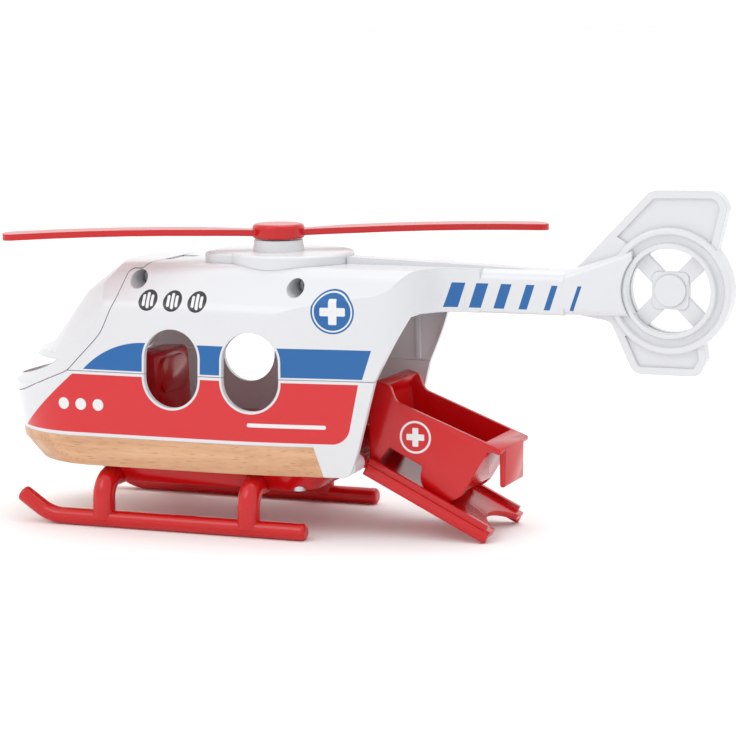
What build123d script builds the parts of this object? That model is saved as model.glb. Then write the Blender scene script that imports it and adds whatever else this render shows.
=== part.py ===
from build123d import *
import os
from math import asin, atan2, cos, hypot, radians, sin, sqrt

# Toy rescue helicopter: moulded shells on a beech base, a canopy hinged on the roof, a ramp that
# closes the rear opening, a stretcher that slides on the ramp, and two rotors that turn freely.
# Millimetres, +Z up, nose towards -X. Stations along the hull are measured from the mast axis.

# Overall layout
NOSE_REACH = 111.5  # mast axis to the tip of the nose
TAIL_REACH = 181.7  # mast axis to the back of the tail ring
MAST_X = (NOSE_REACH - TAIL_REACH) / 2
HULL_HALF_WIDTH = 38.5
WALL = 2.2

RIB_X, RIB_INSET = 47.6, 9.0  # upright rib inside the back of the cabin

# Levels
KEEL_Z = 24.0
BASE_TOP_Z = 35.4
SEAM_Z = 61.0
ROOF_Z = 102.6

# Clearances
GAP = 0.3  # between bodies that move
FIT = 0.05  # radial, around pins, shafts and screws
SEAM_GAP = 0.2  # shadow line between the upper and lower shells

# Nose, waist and shoulder
WAIST_X = 86.0  # where the hull has narrowed to the boom
SHOULDER_Y, SHOULDER_Z = HULL_HALF_WIDTH - 1.7, 87.0
ROOF_HALF_WIDTH = HULL_HALF_WIDTH - 14

# Windows
WINDOW_WIDTH, WINDOW_HEIGHT, WINDOW_Z = 22.8, 30.4, 63.5
WINDOW_STATIONS = (-29.5, 3.3)
WINDSCREEN_HALF_WIDTH, WINDSCREEN_LOW_Z, WINDSCREEN_TOP_Z = 21.0, 72.5, 86.5
CHIN_HALF_WIDTH, CHIN_LOW_Z, CHIN_TOP_Z = 12.0, 57.5, 64.0

# Boom, fin and tail ring
BOOM_HALF_WIDTH, BOOM_LOW_Z, BOOM_END_X = 8.5, 86.0, 119.0
RIDGE_HALF_WIDTH, RIDGE_HEIGHT = 4.0, 2.6
RING_Z, RING_OUTER_R, RING_HOLE_R = 96.1, 23.6, 15.9
RING_X = TAIL_REACH - RING_OUTER_R
RING_HALF_DEPTH = 4.6
FIN_HALF_DEPTH, FIN_RIM, FIN_RECESS = 3.0, 2.8, 1.1
FLARE_HEIGHT = 25.0
WHEEL_RIM_DEPTH = 2.0  # how far the wheel's rim stands inside the ring
WHEEL_HALF_DEPTH = 1.1
WHEEL_BLADE_WIDTH, WHEEL_BOSS_R = 6.5, 6.0

# Canopy hinge
CANOPY_HINGE_X, CANOPY_HINGE_Z = -41.0, 99.7
CANOPY_BARREL_R, CANOPY_BARREL_HALF = 2.4, 9.0
CANOPY_PIN_R, CANOPY_PIN_HALF = 1.0, 15.0
TONGUE_X, TONGUE_Z = -45.5, 100.8  # back edge and underside of the canopy's roof tongue
TONGUE_LEAN = 0.75  # the back edge overhangs, so that it lifts clear of the roof
LEDGE_FRONT_X = -52.0

# Cowl, mast and main rotor
COWL_TOP_Z, COWL_DISC_X, COWL_DISC_R = 106.6, 5.5, 24.6
COWL_FRONT_X, COWL_FRONT_HALF = -26.5, 16.5
COLLAR_TOP_Z, COLLAR_TOP_R, COLLAR_BASE_R = 110.9, 9.5, 10.1
SHAFT_R, BUSH_R, BUSH_FLANGE_R = 3.0, 4.8, 6.6
HUB_R, HUB_HEIGHT = 10.2, 5.6
ROTOR_R, BLADE_CHORD, BLADE_ROOT_CHORD, BLADE_THICKNESS = 107.0, 13.0, 8.0, 2.4
BLADE_SEAT, BLADE_ARCH, BLADE_TIP_RISE = 0.9, 1.3, 0.4
ROTOR_REST_ANGLE = 28.0

# Screws that join the two upper halves
CROSS_SCREWS = ((-46.6, 96.8), (19.6, 95.5))
CROSS_SEAT_Y, CROSS_HEAD_R, CROSS_SHANK_R = 16.5, 2.9, 1.4
CROSS_RECESS_R, CROSS_BOSS_R = 3.5, 4.8

# Beech base, floor tray and base screws
BASE_END_X, BASE_END_RAKE = 28.0, 4.0
POCKET_FRONT_X, POCKET_HALF, POCKET_DEPTH = -26.0, 20.5, 7.0
FLOOR_THICKNESS = 1.4
FLOOR_FRONT_X = -92.0
BASE_SCREWS = ((-66.0, 22.0), (18.0, 25.5))
BOSS_R, BOSS_HEIGHT = 3.5, 10.0
BASE_SHANK_R, BASE_HEAD_R, HEAD_HEIGHT = 1.5, 2.9, 2.0

# Belly plate and skids
PLATE_FRONT_X, PLATE_BACK_X, PLATE_HALF_WIDTH, PLATE_LOW_Z, PLATE_DRAFT = -70.0, 31.0, 32.0, 16.8, 3.5
SKID_Y, SKID_R, SKID_BACK_X, SKID_BEND_X, SKID_TIP_X, SKID_TIP_Z = 38.0, 3.3, 26.2, -83.0, -95.5, 11.5
STRUT_R, STRUT_STATIONS, STRUT_Z, STRUT_ROOT_Y, STRUT_BEND = 4.4, (-59.5, 2.3), 18.9, 24.0, 8.0
SKID_END_ROUND = 1.5
REST_HALF_WIDTH = 1.2  # flat on the underside of each skid
SKID_Z = sqrt(SKID_R**2 - REST_HALF_WIDTH**2)

# Ramp
RAMP_HINGE_X, RAMP_HINGE_Z = 40.5, 28.5
RAMP_LENGTH, RAMP_HALF_WIDTH = 58.6, 22.0
RAMP_LOW, RAMP_WEB_LOW, RAMP_WEB_TOP, RAMP_RAIL_TOP = -3.0, -0.6, 1.6, 3.4
RAIL_WIDTH, RAIL_LEDGE = 3.4, 1.5
RAMP_BARREL_R, RAMP_PIN_R = 3.0, 1.5
NOTCH_R, NOTCH_DEPTH = 17.0, 8.0
RAMP_BOSS_R, RAMP_BOSS_END_Y = 3.6, HULL_HALF_WIDTH - 6.5
RAMP_PIN_HALF = RAMP_BOSS_END_Y - 3.5
RAMP_TILT = asin(RAMP_HINGE_Z / hypot(RAMP_LENGTH, RAMP_LOW)) - atan2(-RAMP_LOW, RAMP_LENGTH)

# Stretcher, measured along the ramp from its hinge and up from the hinge axis
STRETCHER_HALF_WIDTH, STRETCHER_WALL = 17.0, 1.8
STRETCHER_LOW = RAMP_WEB_TOP + GAP
STRETCHER_BED = 11.0

# Seat
SEAT_HALF_WIDTH, SEAT_TOP_Z, SEAT_PAN_Z = 15.5, 65.0, 46.0
SEAT_BACK_X = -46.0
SEAT_PANEL_HEIGHT = 14.0

SIDE = Plane(origin=(MAST_X, 0, 0), x_dir=(1, 0, 0), z_dir=(0, -1, 0))
DECK = Plane(origin=(MAST_X, 0, 0))
SECTION = Plane(origin=(MAST_X, 0, 0), x_dir=(0, 1, 0), z_dir=(1, 0, 0))
RAMP_U = (cos(RAMP_TILT), 0, -sin(RAMP_TILT))
RAMP_V = (sin(RAMP_TILT), 0, cos(RAMP_TILT))
RAMP_ORIGIN = (MAST_X + RAMP_HINGE_X, 0, RAMP_HINGE_Z)
RAMP_SIDE = Plane(origin=RAMP_ORIGIN, x_dir=RAMP_U, z_dir=(0, -1, 0))
RAMP_DECK = Plane(origin=RAMP_ORIGIN, x_dir=RAMP_U, z_dir=RAMP_V)
RING_SIDE = Plane(origin=(MAST_X + RING_X, 0, RING_Z), x_dir=(1, 0, 0), z_dir=(0, -1, 0))

# The hull's side outline behind the nose, and the radius of each corner
HULL_SIDE = (
    ((-NOSE_REACH - 6, KEEL_Z), 0),
    ((-NOSE_REACH - 6, ROOF_Z), 0),
    ((WAIST_X, ROOF_Z), 0),
    ((WAIST_X, BOOM_LOW_Z), 0),
    ((63.5, BOOM_LOW_Z), 2),
    ((52, SEAM_Z), 8),
    ((45.3, 34), 8),
    ((42, KEEL_Z), 4),
)

# The faces of the nose. Each is part of an oval tube that leans back: the place of its tip, how far
# it goes back for each millimetre of height, and the oval's length.
KEEL_FACE = (-NOSE_REACH - 1, BASE_TOP_Z, -1.0, 38)
FRONT_FACE = (-NOSE_REACH, 50, -0.15, 38)
HOOD_FACE = (-NOSE_REACH, 53.5, 0.9, 34)
SCREEN_FACE = (-NOSE_REACH + 18, 69, 0.76, 26)
BROW_FACE = (-NOSE_REACH + 35, 91, 1.35, 26)
LEDGE_Z = 67.0  # where the hood ends in a ledge under the windscreen

# The seam round the canopy, from the roof tongue down the cheek and forward to the nose
CANOPY_SEAM = (
    ((TONGUE_X + 10 * TONGUE_LEAN, ROOF_Z + 10), 0),
    ((TONGUE_X - (ROOF_Z - TONGUE_Z) * TONGUE_LEAN, TONGUE_Z), 0),
    ((LEDGE_FRONT_X, TONGUE_Z), 3),
    ((-54.3, 89), 12),
    ((-60, 76), 20),
    ((-74.5, 61), 8),
    ((-98, 51.5), 30),
    ((-NOSE_REACH - 10, 45.5), 0),
    ((-NOSE_REACH - 10, ROOF_Z + 10), 0),
)


def outline(corners):
    """A closed face from corner points, each with the radius that rounds it."""
    with BuildLine(Plane.XY) as edge:
        FilletPolyline(*[at for at, _ in corners], radius=[r for _, r in corners], close=True)
    make_face(edge.line)


def hull_plan(inset):
    """Plan of the hull behind the nose: straight sides, and a waist that sweeps into the boom."""
    half = HULL_HALF_WIDTH - inset
    with BuildLine(Plane.XY) as edge:
        Line((-NOSE_REACH - 6, 0), (-NOSE_REACH - 6, half))
        Line((-NOSE_REACH - 6, half), (-15, half))
        Spline(
            (-15, half),
            (14, half - 1.8),
            (45, half - 6),
            (57, half - 8.6),
            (65, half - 18),
            (72, BOOM_HALF_WIDTH - inset + 1.6),
            (WAIST_X, BOOM_HALF_WIDTH - inset),
            tangents=((1, 0), (1, 0)),
        )
        Line((WAIST_X, BOOM_HALF_WIDTH - inset), (WAIST_X, 0))
        Line((WAIST_X, 0), (-NOSE_REACH - 6, 0))
    make_face(edge.line)
    mirror(about=Plane.XZ)


def hull_section(inset):
    """Section across the hull: upright sides, a sloped shoulder and a flat roof."""
    half, shoulder, roof = HULL_HALF_WIDTH - inset, SHOULDER_Y - inset, ROOF_HALF_WIDTH - inset / 2
    top = ROOF_Z - inset
    outline(
        (
            ((half, 0), 0),
            ((half, SEAM_Z), 150),
            ((shoulder, SHOULDER_Z), 9),
            ((roof, top), 11),
            ((-roof, top), 11),
            ((-shoulder, SHOULDER_Z), 9),
            ((-half, SEAM_Z), 150),
            ((-half, 0), 0),
        )
    )


def nose_tube(face, inset):
    """An oval tube that leans back: all of the hull that lies behind one face of the nose."""
    tip_x, tip_z, lean, length = face
    half = HULL_HALF_WIDTH - inset
    foot_x = tip_x - lean * tip_z + inset * hypot(1, lean)
    rise = ROOF_Z + WALL
    with BuildPart() as tube:
        with BuildSketch(DECK) as oval:
            with BuildLine():
                EllipticalCenterArc((foot_x + length, 0), length, half, 90, arc_size=180)
                Line((foot_x + length, half), (foot_x + 400, half))
                Line((foot_x + 400, half), (foot_x + 400, -half))
                Line((foot_x + 400, -half), (foot_x + length, -half))
            make_face()
        extrude(amount=rise * hypot(1, lean), dir=(lean, 0, 1))
    return tube.part


def over_the_hood(inset):
    """The space above the hood's ledge and in front of the windscreen."""
    with BuildPart() as front:
        with BuildSketch(SIDE):
            with BuildLine():
                Polyline(
                    (-NOSE_REACH - 10, LEDGE_Z - inset),
                    (-40, LEDGE_Z - inset),
                    (-40, ROOF_Z + 5),
                    (-NOSE_REACH - 10, ROOF_Z + 5),
                    close=True,
                )
            make_face()
        extrude(amount=HULL_HALF_WIDTH + 5, both=True)
        add(nose_tube(SCREEN_FACE, inset), mode=Mode.SUBTRACT)
    return front.part


def hull_form(inset):
    """The hull's outside form, or the same form drawn in all round by a wall."""
    with BuildPart() as form:
        with BuildSketch(SIDE):
            outline(HULL_SIDE)
            if inset:
                offset(amount=-inset, kind=Kind.INTERSECTION)
        extrude(amount=HULL_HALF_WIDTH + WALL, both=True)
        with BuildSketch(DECK):
            hull_plan(inset)
        extrude(amount=ROOF_Z + WALL, mode=Mode.INTERSECT)
        with BuildSketch(SECTION):
            hull_section(inset)
        extrude(amount=NOSE_REACH + 10, both=True, mode=Mode.INTERSECT)
        for face in (KEEL_FACE, FRONT_FACE, HOOD_FACE, BROW_FACE):
            add(nose_tube(face, inset), mode=Mode.INTERSECT)
        add(over_the_hood(inset), mode=Mode.SUBTRACT)
    return form.part


def side_block(corners, half_width, mode=Mode.ADD):
    """A side outline extruded to both sides of the middle plane."""
    with BuildSketch(SIDE) as face:
        outline(corners)
    extrude(face.sketch, amount=half_width, both=True, mode=mode)


def canopy_space(gap):
    """All that lies in front of the canopy's seam, widened by a gap."""
    with BuildPart() as space:
        with BuildSketch(SIDE):
            outline(CANOPY_SEAM)
            if gap:
                offset(amount=gap, kind=Kind.INTERSECTION)
        extrude(amount=HULL_HALF_WIDTH + WALL, both=True)
    return space.part


def rear_mouth():
    """The opening at the back of the cabin, as wide as the inside of the hull."""
    with BuildPart() as mouth:
        side_block(
            (
                ((34, KEEL_Z - 5), 0),
                ((WAIST_X, KEEL_Z - 5), 0),
                ((WAIST_X, BOOM_LOW_Z - 1), 0),
                ((58.5, BOOM_LOW_Z - 1), 3),
                ((50.5, 70), 0),
                ((40, 45), 0),
            ),
            HULL_HALF_WIDTH,
        )
        with BuildSketch(DECK):
            hull_plan(WALL)
        extrude(amount=ROOF_Z, mode=Mode.INTERSECT)
    return mouth.part


def windows():
    """Two windows right through the cabin, round at top and bottom."""
    with BuildPart() as cut:
        with BuildSketch(SIDE):
            for station in WINDOW_STATIONS:
                with Locations((station, WINDOW_Z)):
                    SlotOverall(WINDOW_HEIGHT, WINDOW_WIDTH, rotation=90)
        extrude(amount=HULL_HALF_WIDTH + WALL, both=True)
    return cut.part


def base_space():
    """Where the beech base lies: under the lower shell, up to its raked back end."""
    with BuildPart() as space:
        side_block(
            (
                ((-NOSE_REACH - 5, KEEL_Z - 5), 0),
                ((-NOSE_REACH - 5, BASE_TOP_Z), 0),
                ((BASE_END_X, BASE_TOP_Z), 0),
                ((BASE_END_X + BASE_END_RAKE * 17 / 12, KEEL_Z - 5), 0),
            ),
            HULL_HALF_WIDTH + WALL,
        )
    return space.part


def screw_posts():
    """Bosses for the base screws, each tied by a rib to the middle of the side wall."""
    with BuildPart() as posts:
        with BuildSketch(DECK.offset(BASE_TOP_Z)):
            for x, y in BASE_SCREWS:
                with Locations((x, y), (x, -y)):
                    Circle(BOSS_R)
                rib = HULL_HALF_WIDTH - y
                with Locations((x, y + rib / 2), (x, -y - rib / 2)):
                    Rectangle(BOSS_R, rib)
        extrude(amount=BOSS_HEIGHT)
        add(hull_form(WALL / 2), mode=Mode.INTERSECT)
    return posts.part


def flank_ribs():
    """An upright rib on each inner flank, just ahead of the rear opening."""
    with BuildPart() as ribs:
        with BuildSketch(DECK.offset(SEAM_Z + 1)):
            with Locations((RIB_X, HULL_HALF_WIDTH - RIB_INSET), (RIB_X, RIB_INSET - HULL_HALF_WIDTH)):
                Rectangle(1.6, 3)
        extrude(amount=ROOF_Z - SEAM_Z)
        add(hull_form(WALL / 2), mode=Mode.INTERSECT)
    return ribs.part


def cross_bosses():
    """Tubes from wall to wall under the roof, one for each cross screw."""
    with BuildPart() as bosses:
        with BuildSketch(SIDE):
            for x, z in CROSS_SCREWS:
                with Locations((x, z)):
                    Circle(CROSS_BOSS_R)
        extrude(amount=HULL_HALF_WIDTH, both=True)
        add(outer_form, mode=Mode.INTERSECT)
    return bosses.part


def tail_flare():
    """The boom's end, which grows higher and thinner and clasps the ring up to its inner lip."""
    with BuildPart() as flare:
        with BuildSketch(SECTION.offset(BOOM_END_X)):
            with Locations((0, (BOOM_LOW_Z + ROOF_Z) / 2)):
                RectangleRounded(2 * BOOM_HALF_WIDTH, ROOF_Z - BOOM_LOW_Z, 4)
        with BuildSketch(SECTION.offset(RING_X - RING_HOLE_R + 2)):
            with Locations((0, BOOM_LOW_Z + FLARE_HEIGHT / 2)):
                RectangleRounded(2 * RING_HALF_DEPTH + 1.6, FLARE_HEIGHT, 2.5)
        loft()
        with BuildSketch(RING_SIDE):
            Circle(RING_HOLE_R + 2)
        extrude(amount=RING_OUTER_R, both=True, mode=Mode.SUBTRACT)
    return flare.part


outer_form = hull_form(0)
inner_form = hull_form(WALL)

# Lower shell
with BuildPart() as lower_shell:
    add(outer_form)
    with Locations((0, 0, SEAM_Z + 50)):
        Box(400, 100, 100, mode=Mode.SUBTRACT)
    add(inner_form, mode=Mode.SUBTRACT)
    add(rear_mouth(), mode=Mode.SUBTRACT)
    add(screw_posts())
    # bosses that carry the ramp's hinge pin
    for side in (-1, 1):
        with BuildSketch(SIDE.offset(side * (RAMP_HALF_WIDTH + GAP))):
            with Locations((RAMP_HINGE_X, RAMP_HINGE_Z)):
                Circle(RAMP_BOSS_R)
        extrude(amount=side * (RAMP_BOSS_END_Y - RAMP_HALF_WIDTH - GAP))
    with BuildSketch(SIDE):
        with Locations((RAMP_HINGE_X, RAMP_HINGE_Z)):
            Circle(RAMP_PIN_R + FIT)
    extrude(amount=RAMP_PIN_HALF + FIT, both=True, mode=Mode.SUBTRACT)
    with BuildSketch(DECK.offset(BASE_TOP_Z)):
        for x, y in BASE_SCREWS:
            with Locations((x, y), (x, -y)):
                Circle(BASE_SHANK_R + FIT)
    extrude(amount=BOSS_HEIGHT - 2, mode=Mode.SUBTRACT)
    add(base_space(), mode=Mode.SUBTRACT)
    add(canopy_space(GAP), mode=Mode.SUBTRACT)
    add(windows(), mode=Mode.SUBTRACT)
lower_shell.part.label = "lower_shell"

# Upper shell with the boom, the fin and the tail ring, made whole and then halved
with BuildPart() as upper_form:
    add(outer_form)
    with Locations((0, 0, SEAM_Z + SEAM_GAP - 50)):
        Box(400, 100, 100, mode=Mode.SUBTRACT)
    # boom, with soft upper and crisp lower edges
    with BuildSketch(SECTION.offset(WAIST_X - 6)):
        outline(
            (
                ((BOOM_HALF_WIDTH, BOOM_LOW_Z), 1.2),
                ((BOOM_HALF_WIDTH, ROOF_Z), 5),
                ((-BOOM_HALF_WIDTH, ROOF_Z), 5),
                ((-BOOM_HALF_WIDTH, BOOM_LOW_Z), 1.2),
            )
        )
    extrude(amount=BOOM_END_X - WAIST_X + 6)
    # fin above and below the ring
    fin_corners = (
        ((BOOM_END_X - 3, BOOM_LOW_Z + 1), 3),
        ((BOOM_END_X - 3, ROOF_Z - 1), 3),
        ((BOOM_END_X + 2, ROOF_Z - 0.5), 6),
        ((RING_X - 7.5, 133), 5),
        ((RING_X + 18.5, 133.4), 6),
        ((TAIL_REACH - 2, 127.5), 5),
        ((RING_X + 17.5, 110), 3),
        ((RING_X + 10, RING_Z), 3),
        ((RING_X + 14.2, 70.5), 2.5),
        ((RING_X + 11, 64.6), 3),
        ((RING_X - 13.5, 64.6), 5),
        ((RING_X - 22.5, 84), 4),
    )
    side_block(fin_corners, FIN_HALF_DEPTH)
    with BuildSketch(RING_SIDE):
        Circle(RING_OUTER_R)
    extrude(amount=FIN_HALF_DEPTH, both=True)
    # sunk panels of the fin, inside its raised rim
    for side in (-1, 1):
        with BuildSketch(SIDE.offset(side * FIN_HALF_DEPTH)):
            outline(fin_corners)
            offset(amount=-FIN_RIM, kind=Kind.INTERSECTION)
            with Locations((RING_X, RING_Z)):
                Circle(RING_OUTER_R - 1, mode=Mode.SUBTRACT)
            with Locations((BOOM_END_X + 9, RING_Z)):
                Circle(22, mode=Mode.SUBTRACT)
        extrude(amount=-side * FIN_RECESS, mode=Mode.SUBTRACT)
    # ring section: inner lip, shallow channel, outer ridge
    with BuildSketch(RING_SIDE):
        Circle(RING_OUTER_R - 0.6)
    extrude(amount=RING_OUTER_R, both=True, mode=Mode.SUBTRACT)
    with BuildSketch(Plane(origin=(MAST_X + RING_X, 0, RING_Z), x_dir=(0, 0, 1), z_dir=(-1, 0, 0))):
        with BuildLine():
            FilletPolyline(
                (RING_HOLE_R - 4, 0),
                (RING_HOLE_R - 4, RING_HALF_DEPTH),
                (RING_HOLE_R + 1.8, RING_HALF_DEPTH),
                (RING_HOLE_R + 2.3, RING_HALF_DEPTH - 1.9),
                (RING_HOLE_R + 4.6, RING_HALF_DEPTH - 1.9),
                (RING_HOLE_R + 5.4, RING_HALF_DEPTH),
                (RING_OUTER_R, RING_HALF_DEPTH),
                (RING_OUTER_R, 0),
                radius=(0, 0.5, 0.6, 0.6, 0.6, 1.2),
            )
            Line((RING_OUTER_R, 0), (RING_HOLE_R - 4, 0))
        make_face()
        mirror(about=Plane.XZ)
    revolve(axis=Axis((MAST_X + RING_X, 0, RING_Z), (0, 1, 0)))
    add(tail_flare())
    # low ridge along the roof and the boom
    side_block(
        (
            ((COWL_DISC_X + COWL_DISC_R, ROOF_Z - 1), 0),
            ((COWL_DISC_X + COWL_DISC_R, ROOF_Z + RIDGE_HEIGHT), 0),
            ((WAIST_X, ROOF_Z + 0.9), 0),
            ((BOOM_END_X + 3, ROOF_Z - 1), 0),
        ),
        RIDGE_HALF_WIDTH,
    )
    # cavity of the cabin, and of the boom behind it
    add(inner_form, mode=Mode.SUBTRACT)
    with BuildSketch(SECTION.offset(WAIST_X - WALL - 3)):
        with Locations((0, (BOOM_LOW_Z + ROOF_Z) / 2)):
            RectangleRounded(2 * (BOOM_HALF_WIDTH - WALL), ROOF_Z - BOOM_LOW_Z - 2 * WALL, 2.5)
    extrude(amount=BOOM_END_X - WAIST_X, mode=Mode.SUBTRACT)
    add(rear_mouth(), mode=Mode.SUBTRACT)
    add(flank_ribs())
    # pad under the roof that carries the canopy's hinge pin
    side_block(
        (
            ((LEDGE_FRONT_X - 4, ROOF_Z - WALL + 0.5), 0),
            ((LEDGE_FRONT_X - 1, CANOPY_HINGE_Z - 2.4), 1),
            ((CANOPY_HINGE_X + 5, CANOPY_HINGE_Z - 2.4), 1),
            ((CANOPY_HINGE_X + 7, ROOF_Z - WALL + 0.5), 0),
        ),
        ROOF_HALF_WIDTH - 4,
    )
    # bosses of the cross screws, with a deep recess for each head
    add(cross_bosses())
    with BuildSketch(SIDE.offset(CROSS_SEAT_Y)):
        for x, z in CROSS_SCREWS:
            with Locations((x, z)):
                Circle(CROSS_RECESS_R)
    extrude(amount=HULL_HALF_WIDTH, mode=Mode.SUBTRACT)
    with BuildSketch(SIDE):
        for x, z in CROSS_SCREWS:
            with Locations((x, z)):
                Circle(CROSS_SHANK_R + FIT)
    extrude(amount=CROSS_SEAT_Y, both=True, mode=Mode.SUBTRACT)
    # holes for the bush and the canopy's hinge, and all the openings
    with BuildSketch(DECK.offset(ROOF_Z - 10)):
        Circle(BUSH_R + FIT)
    extrude(amount=20, mode=Mode.SUBTRACT)
    with BuildSketch(SIDE):
        with Locations((CANOPY_HINGE_X, CANOPY_HINGE_Z)):
            Circle(CANOPY_PIN_R + FIT)
    extrude(amount=CANOPY_PIN_HALF + FIT, both=True, mode=Mode.SUBTRACT)
    side_block(
        (
            ((CANOPY_HINGE_X - CANOPY_BARREL_R - GAP, CANOPY_HINGE_Z - 6), 0),
            ((CANOPY_HINGE_X + CANOPY_BARREL_R + GAP, CANOPY_HINGE_Z - 6), 0),
            ((CANOPY_HINGE_X + CANOPY_BARREL_R + GAP, ROOF_Z + 3), 0),
            ((TONGUE_X - 3, ROOF_Z + 3), 0),
            ((TONGUE_X - 3, TONGUE_Z - GAP), 0),
            ((CANOPY_HINGE_X - CANOPY_BARREL_R - GAP, TONGUE_Z - GAP), 0),
        ),
        CANOPY_BARREL_HALF + GAP,
        Mode.SUBTRACT,
    )
    add(canopy_space(GAP), mode=Mode.SUBTRACT)
    add(windows(), mode=Mode.SUBTRACT)
    # hole of the ring, with the groove that holds the tail rotor's rim
    with BuildSketch(RING_SIDE):
        Circle(RING_HOLE_R)
    extrude(amount=RING_OUTER_R, both=True, mode=Mode.SUBTRACT)
    with BuildSketch(RING_SIDE):
        Circle(RING_HOLE_R + WHEEL_RIM_DEPTH + FIT)
    extrude(amount=WHEEL_HALF_DEPTH + GAP, both=True, mode=Mode.SUBTRACT)

with BuildPart() as upper_shell_left:
    add(upper_form.part)
    split(bisect_by=Plane.XZ, keep=Keep.TOP)
upper_shell_left.part.label = "upper_shell_left"

with BuildPart() as upper_shell_right:
    add(upper_form.part)
    split(bisect_by=Plane.XZ, keep=Keep.BOTTOM)
upper_shell_right.part.label = "upper_shell_right"

# Canopy
with BuildPart() as canopy:
    add(outer_form)
    add(inner_form, mode=Mode.SUBTRACT)
    add(canopy_space(0), mode=Mode.INTERSECT)
    with BuildSketch(SIDE):
        with Locations((CANOPY_HINGE_X, CANOPY_HINGE_Z)):
            Circle(CANOPY_BARREL_R)
    extrude(amount=CANOPY_BARREL_HALF, both=True)
    side_block(
        (
            ((LEDGE_FRONT_X, TONGUE_Z), 0),
            ((CANOPY_HINGE_X, TONGUE_Z), 0),
            ((CANOPY_HINGE_X, CANOPY_HINGE_Z + CANOPY_BARREL_R), 0),
            ((LEDGE_FRONT_X, CANOPY_HINGE_Z + CANOPY_BARREL_R), 0),
        ),
        CANOPY_BARREL_HALF,
    )
    with BuildSketch(SIDE):
        with Locations((CANOPY_HINGE_X, CANOPY_HINGE_Z)):
            Circle(CANOPY_PIN_R + FIT)
    extrude(amount=CANOPY_BARREL_HALF + FIT, both=True, mode=Mode.SUBTRACT)
    with BuildSketch(SECTION.offset(-NOSE_REACH + 14)):
        with Locations((0, (WINDSCREEN_LOW_Z + WINDSCREEN_TOP_Z) / 2)):
            RectangleRounded(2 * WINDSCREEN_HALF_WIDTH, WINDSCREEN_TOP_Z - WINDSCREEN_LOW_Z, 5)
    extrude(amount=36, mode=Mode.SUBTRACT)
    with BuildSketch(SECTION.offset(-NOSE_REACH - 2)):
        with Locations((0, (CHIN_LOW_Z + CHIN_TOP_Z) / 2)):
            RectangleRounded(2 * CHIN_HALF_WIDTH, CHIN_TOP_Z - CHIN_LOW_Z, 2.6)
    extrude(amount=26, mode=Mode.SUBTRACT)
canopy.part.label = "canopy"

with BuildPart() as canopy_hinge_pin:
    with BuildSketch(SIDE):
        with Locations((CANOPY_HINGE_X, CANOPY_HINGE_Z)):
            Circle(CANOPY_PIN_R)
    extrude(amount=CANOPY_PIN_HALF, both=True)
canopy_hinge_pin.part.label = "canopy_hinge_pin"

# Beech base, with the pocket for the floor tray and the holes for the base screws
with BuildPart() as hull_base:
    add(outer_form)
    add(base_space(), mode=Mode.INTERSECT)
    side_block(
        (
            ((POCKET_FRONT_X, BASE_TOP_Z - POCKET_DEPTH), 2),
            ((POCKET_FRONT_X, BASE_TOP_Z + 1), 0),
            ((BASE_END_X + 10, BASE_TOP_Z + 1), 0),
            ((BASE_END_X + 10, BASE_TOP_Z - POCKET_DEPTH), 0),
        ),
        POCKET_HALF,
        Mode.SUBTRACT,
    )
    with BuildSketch(DECK.offset(KEEL_Z)):
        for x, y in BASE_SCREWS:
            with Locations((x, y), (x, -y)):
                Circle(BASE_SHANK_R + FIT)
    extrude(amount=BASE_TOP_Z - KEEL_Z, mode=Mode.SUBTRACT)
hull_base.part.label = "hull_base"

# Cabin floor: a deck on the beech, a sunk tray in its pocket, and a sill towards the ramp
with BuildPart() as cabin_floor:
    with BuildSketch(DECK.offset(BASE_TOP_Z)):
        hull_plan(WALL + GAP)
        with Locations(((FLOOR_FRONT_X + BASE_END_X) / 2, 0)):
            Rectangle(BASE_END_X - FLOOR_FRONT_X, 2 * HULL_HALF_WIDTH, mode=Mode.INTERSECT)
        for x, y in BASE_SCREWS:
            with Locations((x, y), (x, -y)):
                Circle(BOSS_R + GAP, mode=Mode.SUBTRACT)
            rib = HULL_HALF_WIDTH - y
            with Locations((x, y + rib / 2), (x, -y - rib / 2)):
                Rectangle(BOSS_R + 2 * GAP, rib, mode=Mode.SUBTRACT)
    extrude(amount=FLOOR_THICKNESS)
    add(nose_tube(KEEL_FACE, WALL + GAP), mode=Mode.INTERSECT)
    add(nose_tube(FRONT_FACE, WALL + GAP), mode=Mode.INTERSECT)
    tray_half = POCKET_HALF - FIT
    tray_low = BASE_TOP_Z - POCKET_DEPTH
    side_block(
        (
            ((POCKET_FRONT_X + FIT, tray_low), 2),
            ((POCKET_FRONT_X + FIT, BASE_TOP_Z + FLOOR_THICKNESS), 0),
            ((BASE_END_X, BASE_TOP_Z + FLOOR_THICKNESS), 0),
            ((BASE_END_X + 5, tray_low + 2), 0),
            ((RAMP_HINGE_X - RAMP_BARREL_R - GAP, tray_low), 0),
        ),
        tray_half,
    )
    side_block(
        (
            ((POCKET_FRONT_X + FLOOR_THICKNESS, tray_low + FLOOR_THICKNESS), 1),
            ((POCKET_FRONT_X + FLOOR_THICKNESS, BASE_TOP_Z + 5), 0),
            ((RAMP_HINGE_X + 5, BASE_TOP_Z + 5), 0),
            ((RAMP_HINGE_X + 5, tray_low + FLOOR_THICKNESS), 0),
        ),
        tray_half - FLOOR_THICKNESS,
        Mode.SUBTRACT,
    )
cabin_floor.part.label = "cabin_floor"

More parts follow.
